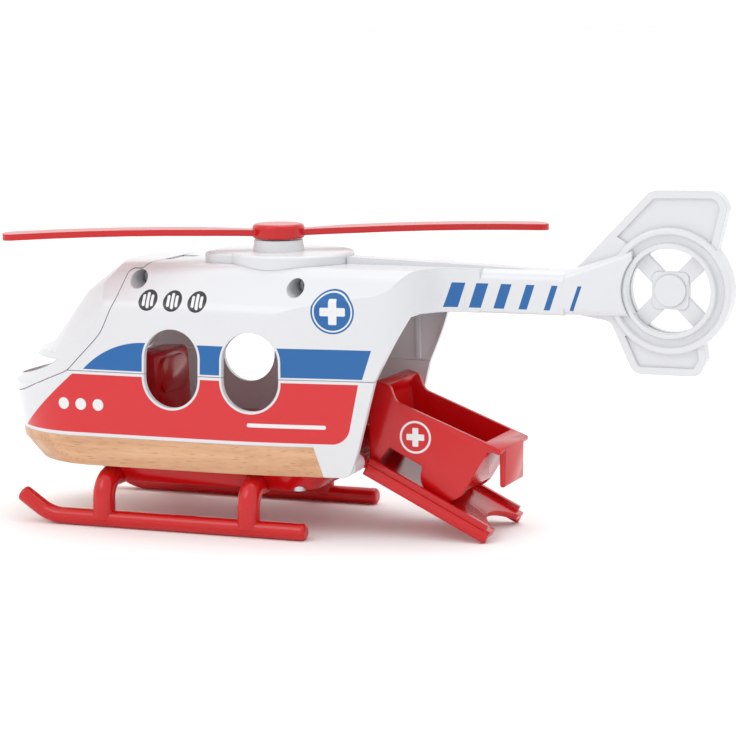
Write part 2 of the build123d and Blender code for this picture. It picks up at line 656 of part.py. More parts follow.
# Pilot's seat, with a raised panel on its back
with BuildPart() as pilot_seat:
    floor_z = BASE_TOP_Z + FLOOR_THICKNESS
    side_block(
        (
            ((SEAT_BACK_X - 37, floor_z), 0),
            ((SEAT_BACK_X - 37, SEAT_PAN_Z - 2), 3),
            ((SEAT_BACK_X - 13, SEAT_PAN_Z), 4),
            ((SEAT_BACK_X - 14.5, SEAT_TOP_Z), 2.5),
            ((SEAT_BACK_X - 1.5, SEAT_TOP_Z + 0.5), 2.5),
            ((SEAT_BACK_X, floor_z), 0),
        ),
        SEAT_HALF_WIDTH,
    )
    with BuildSketch(SECTION.offset(SEAT_BACK_X - 2)):
        with Locations((0, SEAT_TOP_Z - 2 - SEAT_PANEL_HEIGHT / 2)):
            RectangleRounded(2 * SEAT_HALF_WIDTH - 7, SEAT_PANEL_HEIGHT, 5)
    extrude(amount=2.2)
pilot_seat.part.label = "pilot_seat"

# Belly plate, drafted in towards its underside, with sockets for the struts
with BuildPart() as belly_plate:
    plate_middle = (PLATE_FRONT_X + PLATE_BACK_X) / 2
    plate_length = PLATE_BACK_X - PLATE_FRONT_X
    with BuildSketch(DECK.offset(KEEL_Z)):
        with Locations((plate_middle, 0)):
            RectangleRounded(plate_length, 2 * PLATE_HALF_WIDTH, 14)
    with BuildSketch(DECK.offset(PLATE_LOW_Z)):
        with Locations((plate_middle, 0)):
            RectangleRounded(plate_length - 4 * PLATE_DRAFT, 2 * (PLATE_HALF_WIDTH - PLATE_DRAFT), 11)
    loft()
    for side in (-1, 1):
        with BuildSketch(SIDE.offset(side * STRUT_ROOT_Y)):
            for x in STRUT_STATIONS:
                with Locations((x, STRUT_Z)):
                    Circle(STRUT_R + FIT)
        extrude(amount=side * 20, mode=Mode.SUBTRACT)
    with BuildSketch(DECK.offset(PLATE_LOW_Z)):
        for x, y in BASE_SCREWS:
            with Locations((x, y), (x, -y)):
                Circle(BASE_SHANK_R + FIT)
    extrude(amount=20, mode=Mode.SUBTRACT)
    with BuildSketch(DECK.offset(PLATE_LOW_Z)):
        for x, y in BASE_SCREWS:
            with Locations((x, y), (x, -y)):
                Circle(BASE_HEAD_R + FIT)
    extrude(amount=HEAD_HEIGHT, mode=Mode.SUBTRACT)
belly_plate.part.label = "belly_plate"


def skid(side):
    """One skid on its two arched struts, flat underneath where it rests."""
    with BuildPart() as one:
        with BuildLine() as runner:
            FilletPolyline(
                (MAST_X + SKID_TIP_X, side * SKID_Y, SKID_TIP_Z),
                (MAST_X + SKID_BEND_X, side * SKID_Y, SKID_Z),
                (MAST_X + SKID_BACK_X, side * SKID_Y, SKID_Z),
                radius=18,
            )
        with BuildSketch(Plane(origin=runner.line @ 0, z_dir=runner.line % 0)):
            Circle(SKID_R)
        sweep(path=runner.line)
        rims = one.edges().filter_by(GeomType.CIRCLE).sort_by(Axis.X)
        fillet((rims[0], rims[-1]), SKID_END_ROUND)
        for x in STRUT_STATIONS:
            with BuildLine() as strut:
                FilletPolyline(
                    (MAST_X + x, side * STRUT_ROOT_Y, STRUT_Z),
                    (MAST_X + x, side * SKID_Y, STRUT_Z),
                    (MAST_X + x, side * SKID_Y, SKID_Z),
                    radius=STRUT_BEND,
                )
            with BuildSketch(Plane(origin=strut.line @ 0, z_dir=strut.line % 0)):
                Circle(STRUT_R)
            sweep(path=strut.line)
        with Locations((0, side * SKID_Y, -10)):
            Box(400, 40, 20, mode=Mode.SUBTRACT)
    return one.part


with BuildPart() as skid_left:
    add(skid(-1))
skid_left.part.label = "skid_left"

with BuildPart() as skid_right:
    add(skid(1))
skid_right.part.label = "skid_right"

# Engine cowl: a disc with a narrower nose, saddled on the roof, and the mast collar on top
with BuildPart() as engine_cowl:
    with BuildSketch(DECK.offset(ROOF_Z - 6)):
        with Locations((COWL_DISC_X, 0)):
            Circle(COWL_DISC_R)
        with Locations((COWL_FRONT_X / 2, 0)):
            RectangleRounded(-COWL_FRONT_X, 2 * COWL_FRONT_HALF, 7)
    extrude(amount=COWL_TOP_Z - ROOF_Z + 6)
    fillet(engine_cowl.faces().sort_by(Axis.Z)[-1].edges(), 1.2)
    add(outer_form, mode=Mode.SUBTRACT)
    with BuildSketch(DECK.offset(COWL_TOP_Z)):
        Circle(COLLAR_BASE_R)
    with BuildSketch(DECK.offset(COLLAR_TOP_Z)):
        Circle(COLLAR_TOP_R)
    loft()
    with BuildSketch(DECK.offset(ROOF_Z - 8)):
        Circle(BUSH_R + FIT)
    extrude(amount=20, mode=Mode.SUBTRACT)
engine_cowl.part.label = "engine_cowl"

# Brass bush in the collar, held under the roof by its flange
with BuildPart() as rotor_bush:
    bush_low = ROOF_Z - WALL - 1.5
    with BuildSketch(DECK.offset(bush_low)):
        Circle(BUSH_R)
    extrude(amount=COLLAR_TOP_Z - bush_low)
    with BuildSketch(DECK.offset(bush_low)):
        Circle(BUSH_FLANGE_R)
    extrude(amount=1.5)
    with BuildSketch(DECK.offset(bush_low)):
        Circle(SHAFT_R + FIT)
    extrude(amount=COLLAR_TOP_Z - bush_low, mode=Mode.SUBTRACT)
rotor_bush.part.label = "rotor_bush"

# Rotor shaft, with the clip that keeps it in the bush
hub_low = COLLAR_TOP_Z + 2 * GAP
shaft_top = hub_low + HUB_HEIGHT - 2
with BuildPart() as rotor_shaft:
    with BuildSketch(DECK.offset(bush_low - 3)):
        Circle(SHAFT_R)
    extrude(amount=shaft_top - bush_low + 3)
    chamfer(rotor_shaft.edges().filter_by(GeomType.CIRCLE), 0.4)
rotor_shaft.part.label = "rotor_shaft"

with BuildPart() as shaft_retainer:
    with BuildSketch(DECK.offset(bush_low - GAP - 1.2)):
        Circle(BUSH_FLANGE_R - 1)
        Circle(SHAFT_R, mode=Mode.SUBTRACT)
    extrude(amount=1.2)
shaft_retainer.part.label = "shaft_retainer"

# Main rotor: a hub with two arched blades
blade_root_z = hub_low + BLADE_SEAT
BLADES_SIDE = Plane(
    origin=(MAST_X, 0, 0),
    x_dir=(cos(radians(ROTOR_REST_ANGLE)), sin(radians(ROTOR_REST_ANGLE)), 0),
    z_dir=(sin(radians(ROTOR_REST_ANGLE)), -cos(radians(ROTOR_REST_ANGLE)), 0),
)
with BuildPart() as blades:
    with BuildSketch(BLADES_SIDE):
        for way in (-1, 1):
            with BuildLine():
                low = ThreePointArc(
                    (way * 6, blade_root_z),
                    (way * ROTOR_R * 0.6, blade_root_z + BLADE_ARCH),
                    (way * ROTOR_R, blade_root_z + BLADE_TIP_RISE),
                )
                high = ThreePointArc(
                    (way * 6, blade_root_z + BLADE_THICKNESS),
                    (way * ROTOR_R * 0.6, blade_root_z + BLADE_ARCH + BLADE_THICKNESS),
                    (way * ROTOR_R, blade_root_z + BLADE_TIP_RISE + BLADE_THICKNESS),
                )
                Line(low @ 0, high @ 0)
                Line(low @ 1, high @ 1)
            make_face()
    extrude(amount=BLADE_CHORD / 2, both=True)
    with BuildSketch(Plane(origin=(MAST_X, 0, hub_low - 5), x_dir=BLADES_SIDE.x_dir)):
        for way in (-1, 1):
            outline(
                (
                    ((way * 2, BLADE_ROOT_CHORD / 2), 0),
                    ((way * 12, BLADE_ROOT_CHORD / 2), 8),
                    ((way * 30, BLADE_CHORD / 2), 12),
                    ((way * ROTOR_R, BLADE_CHORD / 2), 4.5),
                    ((way * ROTOR_R, -BLADE_CHORD / 2), 4.5),
                    ((way * 30, -BLADE_CHORD / 2), 12),
                    ((way * 12, -BLADE_ROOT_CHORD / 2), 8),
                    ((way * 2, -BLADE_ROOT_CHORD / 2), 0),
                )
            )
    extrude(amount=20, mode=Mode.INTERSECT)

with BuildPart() as main_rotor:
    with BuildSketch(DECK.offset(hub_low)):
        Circle(HUB_R)
    extrude(amount=HUB_HEIGHT)
    fillet(main_rotor.edges().group_by(Axis.Z)[-1], 1.6)
    fillet(main_rotor.edges().group_by(Axis.Z)[0], 0.8)
    add(blades.part)
    with BuildSketch(DECK.offset(hub_low)):
        Circle(SHAFT_R + FIT / 2)
    extrude(amount=shaft_top - hub_low + FIT, mode=Mode.SUBTRACT)
main_rotor.part.label = "main_rotor"

# Tail rotor: four blades on a boss, with a rim that runs in the ring's groove
with BuildPart() as tail_rotor:
    rim_r = RING_HOLE_R + WHEEL_RIM_DEPTH
    with BuildSketch(RING_SIDE):
        Circle(rim_r)
        Circle(RING_HOLE_R + 0.4, mode=Mode.SUBTRACT)
        for turn in (45, 135):
            with Locations(Location((0, 0, 0), (0, 0, turn))):
                Rectangle(2 * RING_HOLE_R + 1.6, WHEEL_BLADE_WIDTH)
    extrude(amount=WHEEL_HALF_DEPTH, both=True)
    with BuildSketch(RING_SIDE):
        RectangleRounded(14, 14, 2.5, rotation=0)
    extrude(amount=WHEEL_HALF_DEPTH + 0.4, both=True)
    with BuildSketch(RING_SIDE):
        Circle(WHEEL_BOSS_R)
    extrude(amount=WHEEL_HALF_DEPTH + 1.2, both=True)
tail_rotor.part.label = "tail_rotor"

# Cross screws of the upper shell
with BuildPart() as shell_screws:
    with BuildSketch(SIDE.offset(CROSS_SEAT_Y)):
        for x, z in CROSS_SCREWS:
            with Locations((x, z)):
                Circle(CROSS_HEAD_R)
                RectangleRounded(3, 0.7, 0.3, mode=Mode.SUBTRACT)
                RectangleRounded(0.7, 3, 0.3, mode=Mode.SUBTRACT)
    extrude(amount=HEAD_HEIGHT)
    with BuildSketch(SIDE.offset(CROSS_SEAT_Y)):
        for x, z in CROSS_SCREWS:
            with Locations((x, z)):
                Circle(CROSS_HEAD_R)
    extrude(amount=HEAD_HEIGHT / 2)
    with BuildSketch(SIDE.offset(CROSS_SEAT_Y)):
        for x, z in CROSS_SCREWS:
            with Locations((x, z)):
                Circle(CROSS_SHANK_R)
    extrude(amount=-2 * CROSS_SEAT_Y + 4)
shell_screws.part.label = "shell_screws"

# Base screws, up through the belly plate and the beech into the lower shell
with BuildPart() as base_screws:
    for x, y in BASE_SCREWS:
        for side in (-1, 1):
            with BuildSketch(DECK.offset(PLATE_LOW_Z)):
                with Locations((x, side * y)):
                    Circle(BASE_HEAD_R)
                    RectangleRounded(3, 0.7, 0.3, mode=Mode.SUBTRACT)
                    RectangleRounded(0.7, 3, 0.3, mode=Mode.SUBTRACT)
            extrude(amount=HEAD_HEIGHT)
            with BuildSketch(DECK.offset(PLATE_LOW_Z + HEAD_HEIGHT / 2)):
                with Locations((x, side * y)):
                    Circle(BASE_SHANK_R)
            extrude(amount=BASE_TOP_Z + BOSS_HEIGHT - 3 - PLATE_LOW_Z - HEAD_HEIGHT / 2)
base_screws.part.label = "base_screws"

# Ramp: a floor between two stepped rails, notched at its end, on a hinge barrel
with BuildPart() as ramp:
    with BuildSketch(RAMP_DECK.offset(RAMP_WEB_LOW)):
        with Locations((RAMP_LENGTH / 2 + 1, 0)):
            Rectangle(RAMP_LENGTH - 2, 2 * RAMP_HALF_WIDTH - 2 * RAIL_LEDGE)
    extrude(amount=RAMP_WEB_TOP - RAMP_WEB_LOW)
    for side in (-1, 1):
        with BuildSketch(RAMP_DECK.offset(RAMP_LOW)):
            with Locations((RAMP_LENGTH / 2 + 2, side * (RAMP_HALF_WIDTH - RAIL_WIDTH / 2))):
                RectangleRounded(RAMP_LENGTH - 4, RAIL_WIDTH, 1.2)
        extrude(amount=RAMP_WEB_TOP - RAMP_LOW - 0.4)
        with BuildSketch(RAMP_DECK.offset(RAMP_WEB_LOW)):
            with Locations(
                (RAMP_LENGTH / 2 + 1, side * (RAMP_HALF_WIDTH - RAIL_LEDGE / 2 - RAIL_WIDTH / 2))
            ):
                Rectangle(RAMP_LENGTH - 6, RAIL_WIDTH - RAIL_LEDGE)
        extrude(amount=RAMP_RAIL_TOP - RAMP_WEB_LOW)
    with BuildSketch(RAMP_DECK.offset(RAMP_LOW - 1)):
        with Locations((RAMP_LENGTH + NOTCH_R - NOTCH_DEPTH, 0)):
            Circle(NOTCH_R)
    extrude(amount=12, mode=Mode.SUBTRACT)
    for side in (-1, 1):
        with BuildSketch(RAMP_SIDE.offset(side * (STRETCHER_HALF_WIDTH + 2 * GAP))):
            Circle(RAMP_BARREL_R)
            with Locations((RAMP_BARREL_R / 2 + 1, (RAMP_WEB_LOW + RAMP_WEB_TOP) / 2)):
                Rectangle(RAMP_BARREL_R, RAMP_WEB_TOP - RAMP_WEB_LOW)
        extrude(amount=side * (RAMP_HALF_WIDTH - STRETCHER_HALF_WIDTH - 2 * GAP))
    with BuildSketch(RAMP_SIDE):
        Circle(RAMP_PIN_R + FIT)
    extrude(amount=RAMP_HALF_WIDTH + 1, both=True, mode=Mode.SUBTRACT)
ramp.part.label = "ramp"

with BuildPart() as ramp_hinge_pin:
    with BuildSketch(RAMP_SIDE):
        Circle(RAMP_PIN_R)
    extrude(amount=RAMP_PIN_HALF, both=True)
ramp_hinge_pin.part.label = "ramp_hinge_pin"

# Stretcher: an open tub on two feet each side, with a head wall and a pull plate at the foot end
with BuildPart() as stretcher:
    with BuildSketch(RAMP_SIDE):
        outline(
            (
                ((3, STRETCHER_LOW), 1.5),
                ((-7, 22), 8),
                ((-10, 30.5), 3),
                ((-2, 31.5), 2),
                ((2.6, 27.2), 4),
                ((48, 31), 1),
                ((48.2, 28.8), 0.8),
                ((43.6, 28.6), 1.5),
                ((41.2, STRETCHER_LOW), 8),
                ((25, STRETCHER_LOW), 7),
                ((23, STRETCHER_BED - 1), 1),
                ((8, STRETCHER_BED - 1), 1),
                ((6.5, STRETCHER_LOW), 1.5),
            )
        )
    extrude(amount=STRETCHER_HALF_WIDTH, both=True)
    # the tub
    with BuildSketch(RAMP_SIDE):
        outline(
            (
                ((6, STRETCHER_BED), 5),
                ((-3, 26), 4),
                ((-3, 40), 0),
                ((42, 40), 0),
                ((38.6, STRETCHER_BED), 5),
            )
        )
    extrude(amount=STRETCHER_HALF_WIDTH - STRETCHER_WALL, both=True, mode=Mode.SUBTRACT)
    # the space under the bed, between the feet
    with BuildSketch(RAMP_SIDE):
        outline(
            (
                ((-12, STRETCHER_LOW - 2), 0),
                ((-12, 12), 0),
                ((2, STRETCHER_BED - STRETCHER_WALL), 3),
                ((50, STRETCHER_BED - STRETCHER_WALL), 0),
                ((50, STRETCHER_LOW - 2), 0),
            )
        )
    extrude(amount=STRETCHER_HALF_WIDTH - STRETCHER_WALL - 1.5, both=True, mode=Mode.SUBTRACT)
    # pull plate
    with BuildSketch(RAMP_SIDE):
        outline(
            (
                ((45.8, 29.4), 0),
                ((48, 30.6), 0),
                ((54.4, 17), 1),
                ((52.5, 16.2), 0.9),
            )
        )
    extrude(amount=11, both=True)
stretcher.part.label = "stretcher"

os.makedirs("parts", exist_ok=True)
export_step(lower_shell.part, "parts/lower_shell.step")
export_step(upper_shell_left.part, "parts/upper_shell_left.step")
export_step(upper_shell_right.part, "parts/upper_shell_right.step")
export_step(canopy.part, "parts/canopy.step")
export_step(canopy_hinge_pin.part, "parts/canopy_hinge_pin.step")
export_step(hull_base.part, "parts/hull_base.step")
export_step(cabin_floor.part, "parts/cabin_floor.step")
export_step(pilot_seat.part, "parts/pilot_seat.step")
export_step(belly_plate.part, "parts/belly_plate.step")
export_step(skid_left.part, "parts/skid_left.step")
export_step(skid_right.part, "parts/skid_right.step")
export_step(engine_cowl.part, "parts/engine_cowl.step")
export_step(rotor_bush.part, "parts/rotor_bush.step")
export_step(rotor_shaft.part, "parts/rotor_shaft.step")
export_step(shaft_retainer.part, "parts/shaft_retainer.step")
export_step(main_rotor.part, "parts/main_rotor.step")
export_step(tail_rotor.part, "parts/tail_rotor.step")
export_step(shell_screws.part, "parts/shell_screws.step")
export_step(base_screws.part, "parts/base_screws.step")
export_step(ramp.part, "parts/ramp.step")
export_step(ramp_hinge_pin.part, "parts/ramp_hinge_pin.step")
export_step(stretcher.part, "parts/stretcher.step")
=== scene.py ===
"""Looks of a toy rescue helicopter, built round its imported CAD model.

Every part keeps the place that the CAD gives it. This script adds the printed hull, the moulded,
wooden and metal finishes, softened edges, the screws, and a plain studio.
"""

import logging
import math
from dataclasses import dataclass
from enum import Enum
from typing import Callable, Sequence

import bmesh
import bpy
from mathutils import Matrix, Vector


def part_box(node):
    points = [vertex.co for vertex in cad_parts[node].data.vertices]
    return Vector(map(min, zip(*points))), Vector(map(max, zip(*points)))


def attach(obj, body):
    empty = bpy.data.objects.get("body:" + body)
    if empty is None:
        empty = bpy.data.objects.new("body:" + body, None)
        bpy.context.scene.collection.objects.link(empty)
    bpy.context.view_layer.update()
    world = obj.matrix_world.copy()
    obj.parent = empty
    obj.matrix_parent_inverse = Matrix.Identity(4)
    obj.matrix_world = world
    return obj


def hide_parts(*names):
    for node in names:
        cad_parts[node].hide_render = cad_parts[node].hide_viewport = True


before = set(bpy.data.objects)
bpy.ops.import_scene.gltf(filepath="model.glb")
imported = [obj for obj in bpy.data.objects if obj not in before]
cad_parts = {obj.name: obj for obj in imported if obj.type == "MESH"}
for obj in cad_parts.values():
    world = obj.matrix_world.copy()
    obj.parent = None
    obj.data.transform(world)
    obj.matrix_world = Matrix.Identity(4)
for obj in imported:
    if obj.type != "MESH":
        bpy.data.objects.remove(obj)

log = logging.getLogger("helicopter")

MM = 0.001
ROTOR_AXIS_X = sum(corner.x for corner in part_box("rotor_shaft")) / 2 / MM

Color = tuple[float, float, float]
Socket = bpy.types.NodeSocket
Value = Socket | float | Color


def srgb(red: int, green: int, blue: int) -> Color:
    """Turns a screen colour into the linear colour that shaders take.

    Args:
        red: Red from 0 to 255.
        green: Green from 0 to 255.
        blue: Blue from 0 to 255.

    Returns:
        The linear colour.
    """
    channels = [channel / 255 for channel in (red, green, blue)]
    linear = [c / 12.92 if c <= 0.04045 else ((c + 0.055) / 1.055) ** 2.4 for c in channels]
    return linear[0], linear[1], linear[2]


class Ink(Enum):
    """Colours of the prints."""

    RED = srgb(204, 30, 36)
    BLUE = srgb(6, 92, 158)
    WHITE = srgb(222, 223, 224)
    GREY = srgb(38, 40, 43)


class Graph:
    """A shader node tree with short helpers for drawing in millimetres."""

    def __init__(self, tree: bpy.types.NodeTree) -> None:
        """Wraps an empty node tree.

        Args:
            tree: The tree to fill.
        """
        self.tree = tree

    def node(self, kind: str, inputs: dict | None = None, **settings) -> bpy.types.Node:
        """Adds a node.

        Args:
            kind: The node's type name.
            inputs: Values or sockets for its inputs, by name or index.
            settings: Attributes of the node.

        Returns:
            The new node.
        """
        made = self.tree.nodes.new(kind)
        for key, value in settings.items():
            setattr(made, key, value)
        for key, value in (inputs or {}).items():
            self.feed(made.inputs[key], value)
        return made

    def feed(self, socket: Socket, value: Value) -> None:
        """Links a socket into another, or sets its value.

        Args:
            socket: The input to feed.
            value: A socket, a number or a vector.
        """
        if isinstance(value, Socket):
            self.tree.links.new(value, socket)
        else:
            socket.default_value = value

    def math(self, operation: str, *values: Value) -> Socket:
        """Applies one arithmetic operation.

        Args:
            operation: The operation's name.
            values: Its operands, sockets or numbers.

        Returns:
            The result's socket.
        """
        made = self.node("ShaderNodeMath", operation=operation)
        for index, value in enumerate(values):
            self.feed(made.inputs[index], value)
        return made.outputs[0]

    def many(self, operation: str, values: Sequence[Socket]) -> Socket:
        """Folds several values with one operation.

        Args:
            operation: The operation's name.
            values: The sockets to fold.

        Returns:
            The result's socket.
        """
        result = values[0]
        for value in values[1:]:
            result = self.math(operation, result, value)
        return result

    def blend(self, share: Value, low: Value, high: Value) -> Socket:
        """Mixes two colours.

        Args:
            share: How much of the second colour.
            low: The first colour.
            high: The second colour.

        Returns:
            The mixed colour's socket.
        """
        made = self.node("ShaderNodeMix", data_type="RGBA")
        self.feed(made.inputs["Factor"], share)
        for socket, value in zip([s for s in made.inputs if s.type == "RGBA"], (low, high)):
            self.feed(socket, value if isinstance(value, Socket) else (*value, 1))
        return next(s for s in made.outputs if s.type == "RGBA")

    def spread(self, value: Value, low: float, high: float, start: float, end: float) -> Socket:
        """Maps a range of values to another.

        Args:
            value: The value to map.
            low: Where the first range starts.
            high: Where the first range ends.
            start: Where the second range starts.
            end: Where the second range ends.

        Returns:
            The mapped value's socket.
        """
        inputs = {"Value": value, "From Min": low, "From Max": high, "To Min": start, "To Max": end}
        return self.node("ShaderNodeMapRange", inputs).outputs["Result"]


@dataclass(frozen=True)
class Field:
    """Where a point of the surface lies, for the prints."""

    graph: Graph
    along: Socket
    across: Socket
    up: Socket
    outward: Socket

    def half_plane(self, start: tuple[float, float], end: tuple[float, float]) -> Socket:
        """Distance beyond a line that runs from start to end; the print lies to its left.

        Args:
            start: A point on the line.
            end: A later point on it.

        Returns:
            The signed distance's socket.
        """
        run, rise = end[0] - start[0], end[1] - start[1]
        length = math.hypot(run, rise)
        nx, nz = rise / length, -run / length
        g = self.graph
        return g.math(
            "SUBTRACT",
            g.math("ADD", g.math("MULTIPLY", self.along, nx), g.math("MULTIPLY", self.up, nz)),
            nx * start[0] + nz * start[1],
        )

    def rounded_box(
        self, centre: tuple[float, float], half: tuple[float, float], radius: float, lean: float = 0.0
    ) -> Socket:
        """Distance to an upright rectangle with rounded corners.

        Args:
            centre: Its centre.
            half: Half its length and half its height.
            radius: The radius of its corners.
            lean: How far it shifts along for each millimetre up.

        Returns:
            The signed distance's socket.
        """
        g = self.graph
        up = g.math("SUBTRACT", self.up, centre[1])
        along = g.math("SUBTRACT", g.math("SUBTRACT", self.along, centre[0]), g.math("MULTIPLY", up, lean))
        dx = g.math("SUBTRACT", g.math("ABSOLUTE", along), half[0] - radius)
        dz = g.math("SUBTRACT", g.math("ABSOLUTE", up), half[1] - radius)
        inside = g.math("MINIMUM", g.math("MAXIMUM", dx, dz), 0.0)
        ox, oz = g.math("MAXIMUM", dx, 0.0), g.math("MAXIMUM", dz, 0.0)
        outside = g.math("SQRT", g.math("ADD", g.math("MULTIPLY", ox, ox), g.math("MULTIPLY", oz, oz)))
        return g.math("SUBTRACT", g.math("ADD", outside, inside), radius)

    def disc(self, centre: tuple[float, float], radius: float) -> Socket:
        """Distance to a disc.

        Args:
            centre: Its centre.
            radius: Its radius.

        Returns:
            The signed distance's socket.
        """
        return self.rounded_box(centre, (radius, radius), radius)

    def arc_end(self, centre: tuple[float, float], radius: float) -> Socket:
        """Distance beyond a flat top that bends down in an arc ahead of a centre.

        Args:
            centre: The arc's centre.
            radius: Its radius.

        Returns:
            The signed distance's socket.
        """
        g = self.graph
        along = g.math("MINIMUM", g.math("SUBTRACT", self.along, centre[0]), 0.0)
        up = g.math("SUBTRACT", self.up, centre[1])
        squares = g.math("ADD", g.math("MULTIPLY", along, along), g.math("MULTIPLY", up, up))
        return g.math("SUBTRACT", g.math("SQRT", squares), radius)

    def inked(self, distance: Socket) -> Socket:
        """How much ink lies at a signed distance, only on faces that look outward.

        Args:
            distance: The signed distance to the print's edge.

        Returns:
            The share of ink, from 0 to 1.
        """
        g = self.graph
        edge = g.spread(distance, -0.07, 0.07, 1.0, 0.0)
        return g.math("MULTIPLY", edge, g.math("GREATER_THAN", self.outward, 0.2))


@dataclass(frozen=True)
class Print:
    """One colour printed on a surface."""

    ink: Ink
    draw: Callable[[Field], Socket]


@dataclass(frozen=True)
class HullPrints:
    """Sizes of the hull's printed scheme, in millimetres from the rotor's axis and the ground."""

    window_stations: tuple[float, float] = (-29.5, 3.3)
    window_height: float = 63.5
    window_half: tuple[float, float] = (11.4, 15.2)
    border: float = 0.9
    band_low: float = 61.9
    band_top: float = 73.1
    band_arc: float = 36.2
    field_top: float = 59.9
    field_low: float = 36.8
    field_middle: float = -55.5
    field_reach: float = 100.0
    field_corner: float = 5.7
    field_lean: float = 0.2
    dot_stations: tuple[float, ...] = (-76.0, -68.5, -61.0)
    dot_height: float = 48.0
    dot_radius: float = 2.3
    bar_centre: tuple[float, float] = (17.5, 43.2)
    bar_half: tuple[float, float] = (15.5, 0.75)
    bar_round: float = 0.7
    vent_middle: float = -29.8
    vent_pitch: float = 10.4
    vent_height: float = 89.4
    badge: tuple[float, float] = (35.9, 87.4)
    badge_radius: float = 8.4
    badge_ring: tuple[float, float] = (7.7, 7.1)
    stripe_start: float = 76.0
    stripe_pitch: float = 9.48
    stripe_widths: tuple[float, ...] = (5.4, 4.8, 4.2, 3.3, 2.4, 1.5)

    def windows(self, field: Field) -> Socket:
        """Distance to the windows with the bare border round them.

        Args:
            field: Where the point lies.

        Returns:
            The signed distance's socket.
        """
        half = (self.window_half[0] + self.border, self.window_half[1] + self.border)
        boxes = [field.rounded_box((x, self.window_height), half, half[0]) for x in self.window_stations]
        return field.graph.many("MINIMUM", boxes)

    def band(self, field: Field) -> Socket:
        """The blue band: it rises in an arc at the nose and ends on a slant.

        Args:
            field: Where the point lies.

        Returns:
            The signed distance's socket.
        """
        g = field.graph
        top = field.arc_end((-41.0, self.band_top - self.band_arc), self.band_arc)
        low = g.math("SUBTRACT", self.band_low, field.up)
        back = field.half_plane((47.2, self.band_low), (50.8, self.band_top))
        return g.many("MAXIMUM", [top, low, back, g.math("MULTIPLY", self.windows(field), -1.0)])

    def lower_field(self, field: Field) -> Socket:
        """The red field of the lower shell, slanted at both ends.

        Args:
            field: Where the point lies.

        Returns:
            The signed distance's socket.
        """
        g = field.graph
        middle, half = (self.field_top + self.field_low) / 2, (self.field_top - self.field_low) / 2
        centre = (self.field_middle, middle + self.field_corner)
        body = field.rounded_box(
            centre, (self.field_reach, half + self.field_corner), self.field_corner, lean=self.field_lean
        )
        top = g.math("SUBTRACT", field.up, self.field_top)
        front = field.half_plane((-72.0, self.field_top), (-98.5, self.field_low))
        return g.many("MAXIMUM", [body, top, front, g.math("MULTIPLY", self.windows(field), -1.0)])

    def dots(self, field: Field) -> Socket:
        """Three plain dots near the nose, and a plain bar at the back.

        Args:
            field: Where the point lies.

        Returns:
            The signed distance's socket.
        """
        discs = [field.disc((x, self.dot_height), self.dot_radius) for x in self.dot_stations]
        bar = field.rounded_box(self.bar_centre, self.bar_half, self.bar_round)
        return field.graph.many("MINIMUM", [*discs, bar])

    def vents(self) -> list[float]:
        """The stations of the three vents."""
        return [self.vent_middle + self.vent_pitch * step for step in (-1, 0, 1)]

    def vent_discs(self, field: Field) -> Socket:
        """The dark discs of the vents.

        Args:
            field: Where the point lies.

        Returns:
            The signed distance's socket.
        """
        return field.graph.many("MINIMUM", [field.disc((x, self.vent_height), 3.9) for x in self.vents()])

    def vent_bars(self, field: Field) -> Socket:
        """The white bars in each vent.

        Args:
            field: Where the point lies.

        Returns:
            The signed distance's socket.
        """
        bars = []
        for x in self.vents():
            for shift, half in ((-1.75, 2.1), (0.0, 2.9), (1.75, 2.1)):
                bars.append(field.rounded_box((x + shift, self.vent_height), (0.6, half), 0.55, lean=-0.1))
        return field.graph.many("MINIMUM", bars)

    def badge_disc(self, field: Field) -> Socket:
        """The blue disc of the badge.

        Args:
            field: Where the point lies.

        Returns:
            The signed distance's socket.
        """
        return field.disc(self.badge, self.badge_radius)

    def badge_mark(self, field: Field) -> Socket:
        """A thin ring and a plain plus inside the badge.

        Args:
            field: Where the point lies.

        Returns:
            The signed distance's socket.
        """
        g = field.graph
        outer, inner = self.badge_ring
        hole = g.math("MULTIPLY", field.disc(self.badge, inner), -1.0)
        ring = g.math("MAXIMUM", field.disc(self.badge, outer), hole)
        plus = g.math(
            "MINIMUM",
            field.rounded_box(self.badge, (4.9, 1.6), 0.5),
            field.rounded_box(self.badge, (1.6, 4.9), 0.5),
        )
        return g.math("MINIMUM", ring, plus)

    def boom_stripes(self, field: Field) -> Socket:
        """Six slanted stripes along the boom, each narrower than the one before.

        Args:
            field: Where the point lies.

        Returns:
            The signed distance's socket.
        """
        stripes = []
        for index, width in enumerate(self.stripe_widths):
            centre = (self.stripe_start + self.stripe_pitch * index, 92.6)
            stripes.append(field.rounded_box(centre, (width / 2, 4.7), 0.1, lean=0.33))
        return field.graph.many("MINIMUM", stripes)

    def upper(self) -> tuple[Print, ...]:
        """The prints of the two upper shells, in the order that they are laid on.

        Returns:
            The prints.
        """
        return (
            Print(Ink.BLUE, self.band),
            Print(Ink.GREY, self.vent_discs),
            Print(Ink.WHITE, self.vent_bars),
            Print(Ink.BLUE, self.badge_disc),
            Print(Ink.WHITE, self.badge_mark),
            Print(Ink.BLUE, self.boom_stripes),
        )

    def lower(self) -> tuple[Print, ...]:
        """The prints of the lower shell, in the order that they are laid on.

        Returns:
            The prints.
        """
        return (Print(Ink.RED, self.lower_field), Print(Ink.WHITE, self.dots))


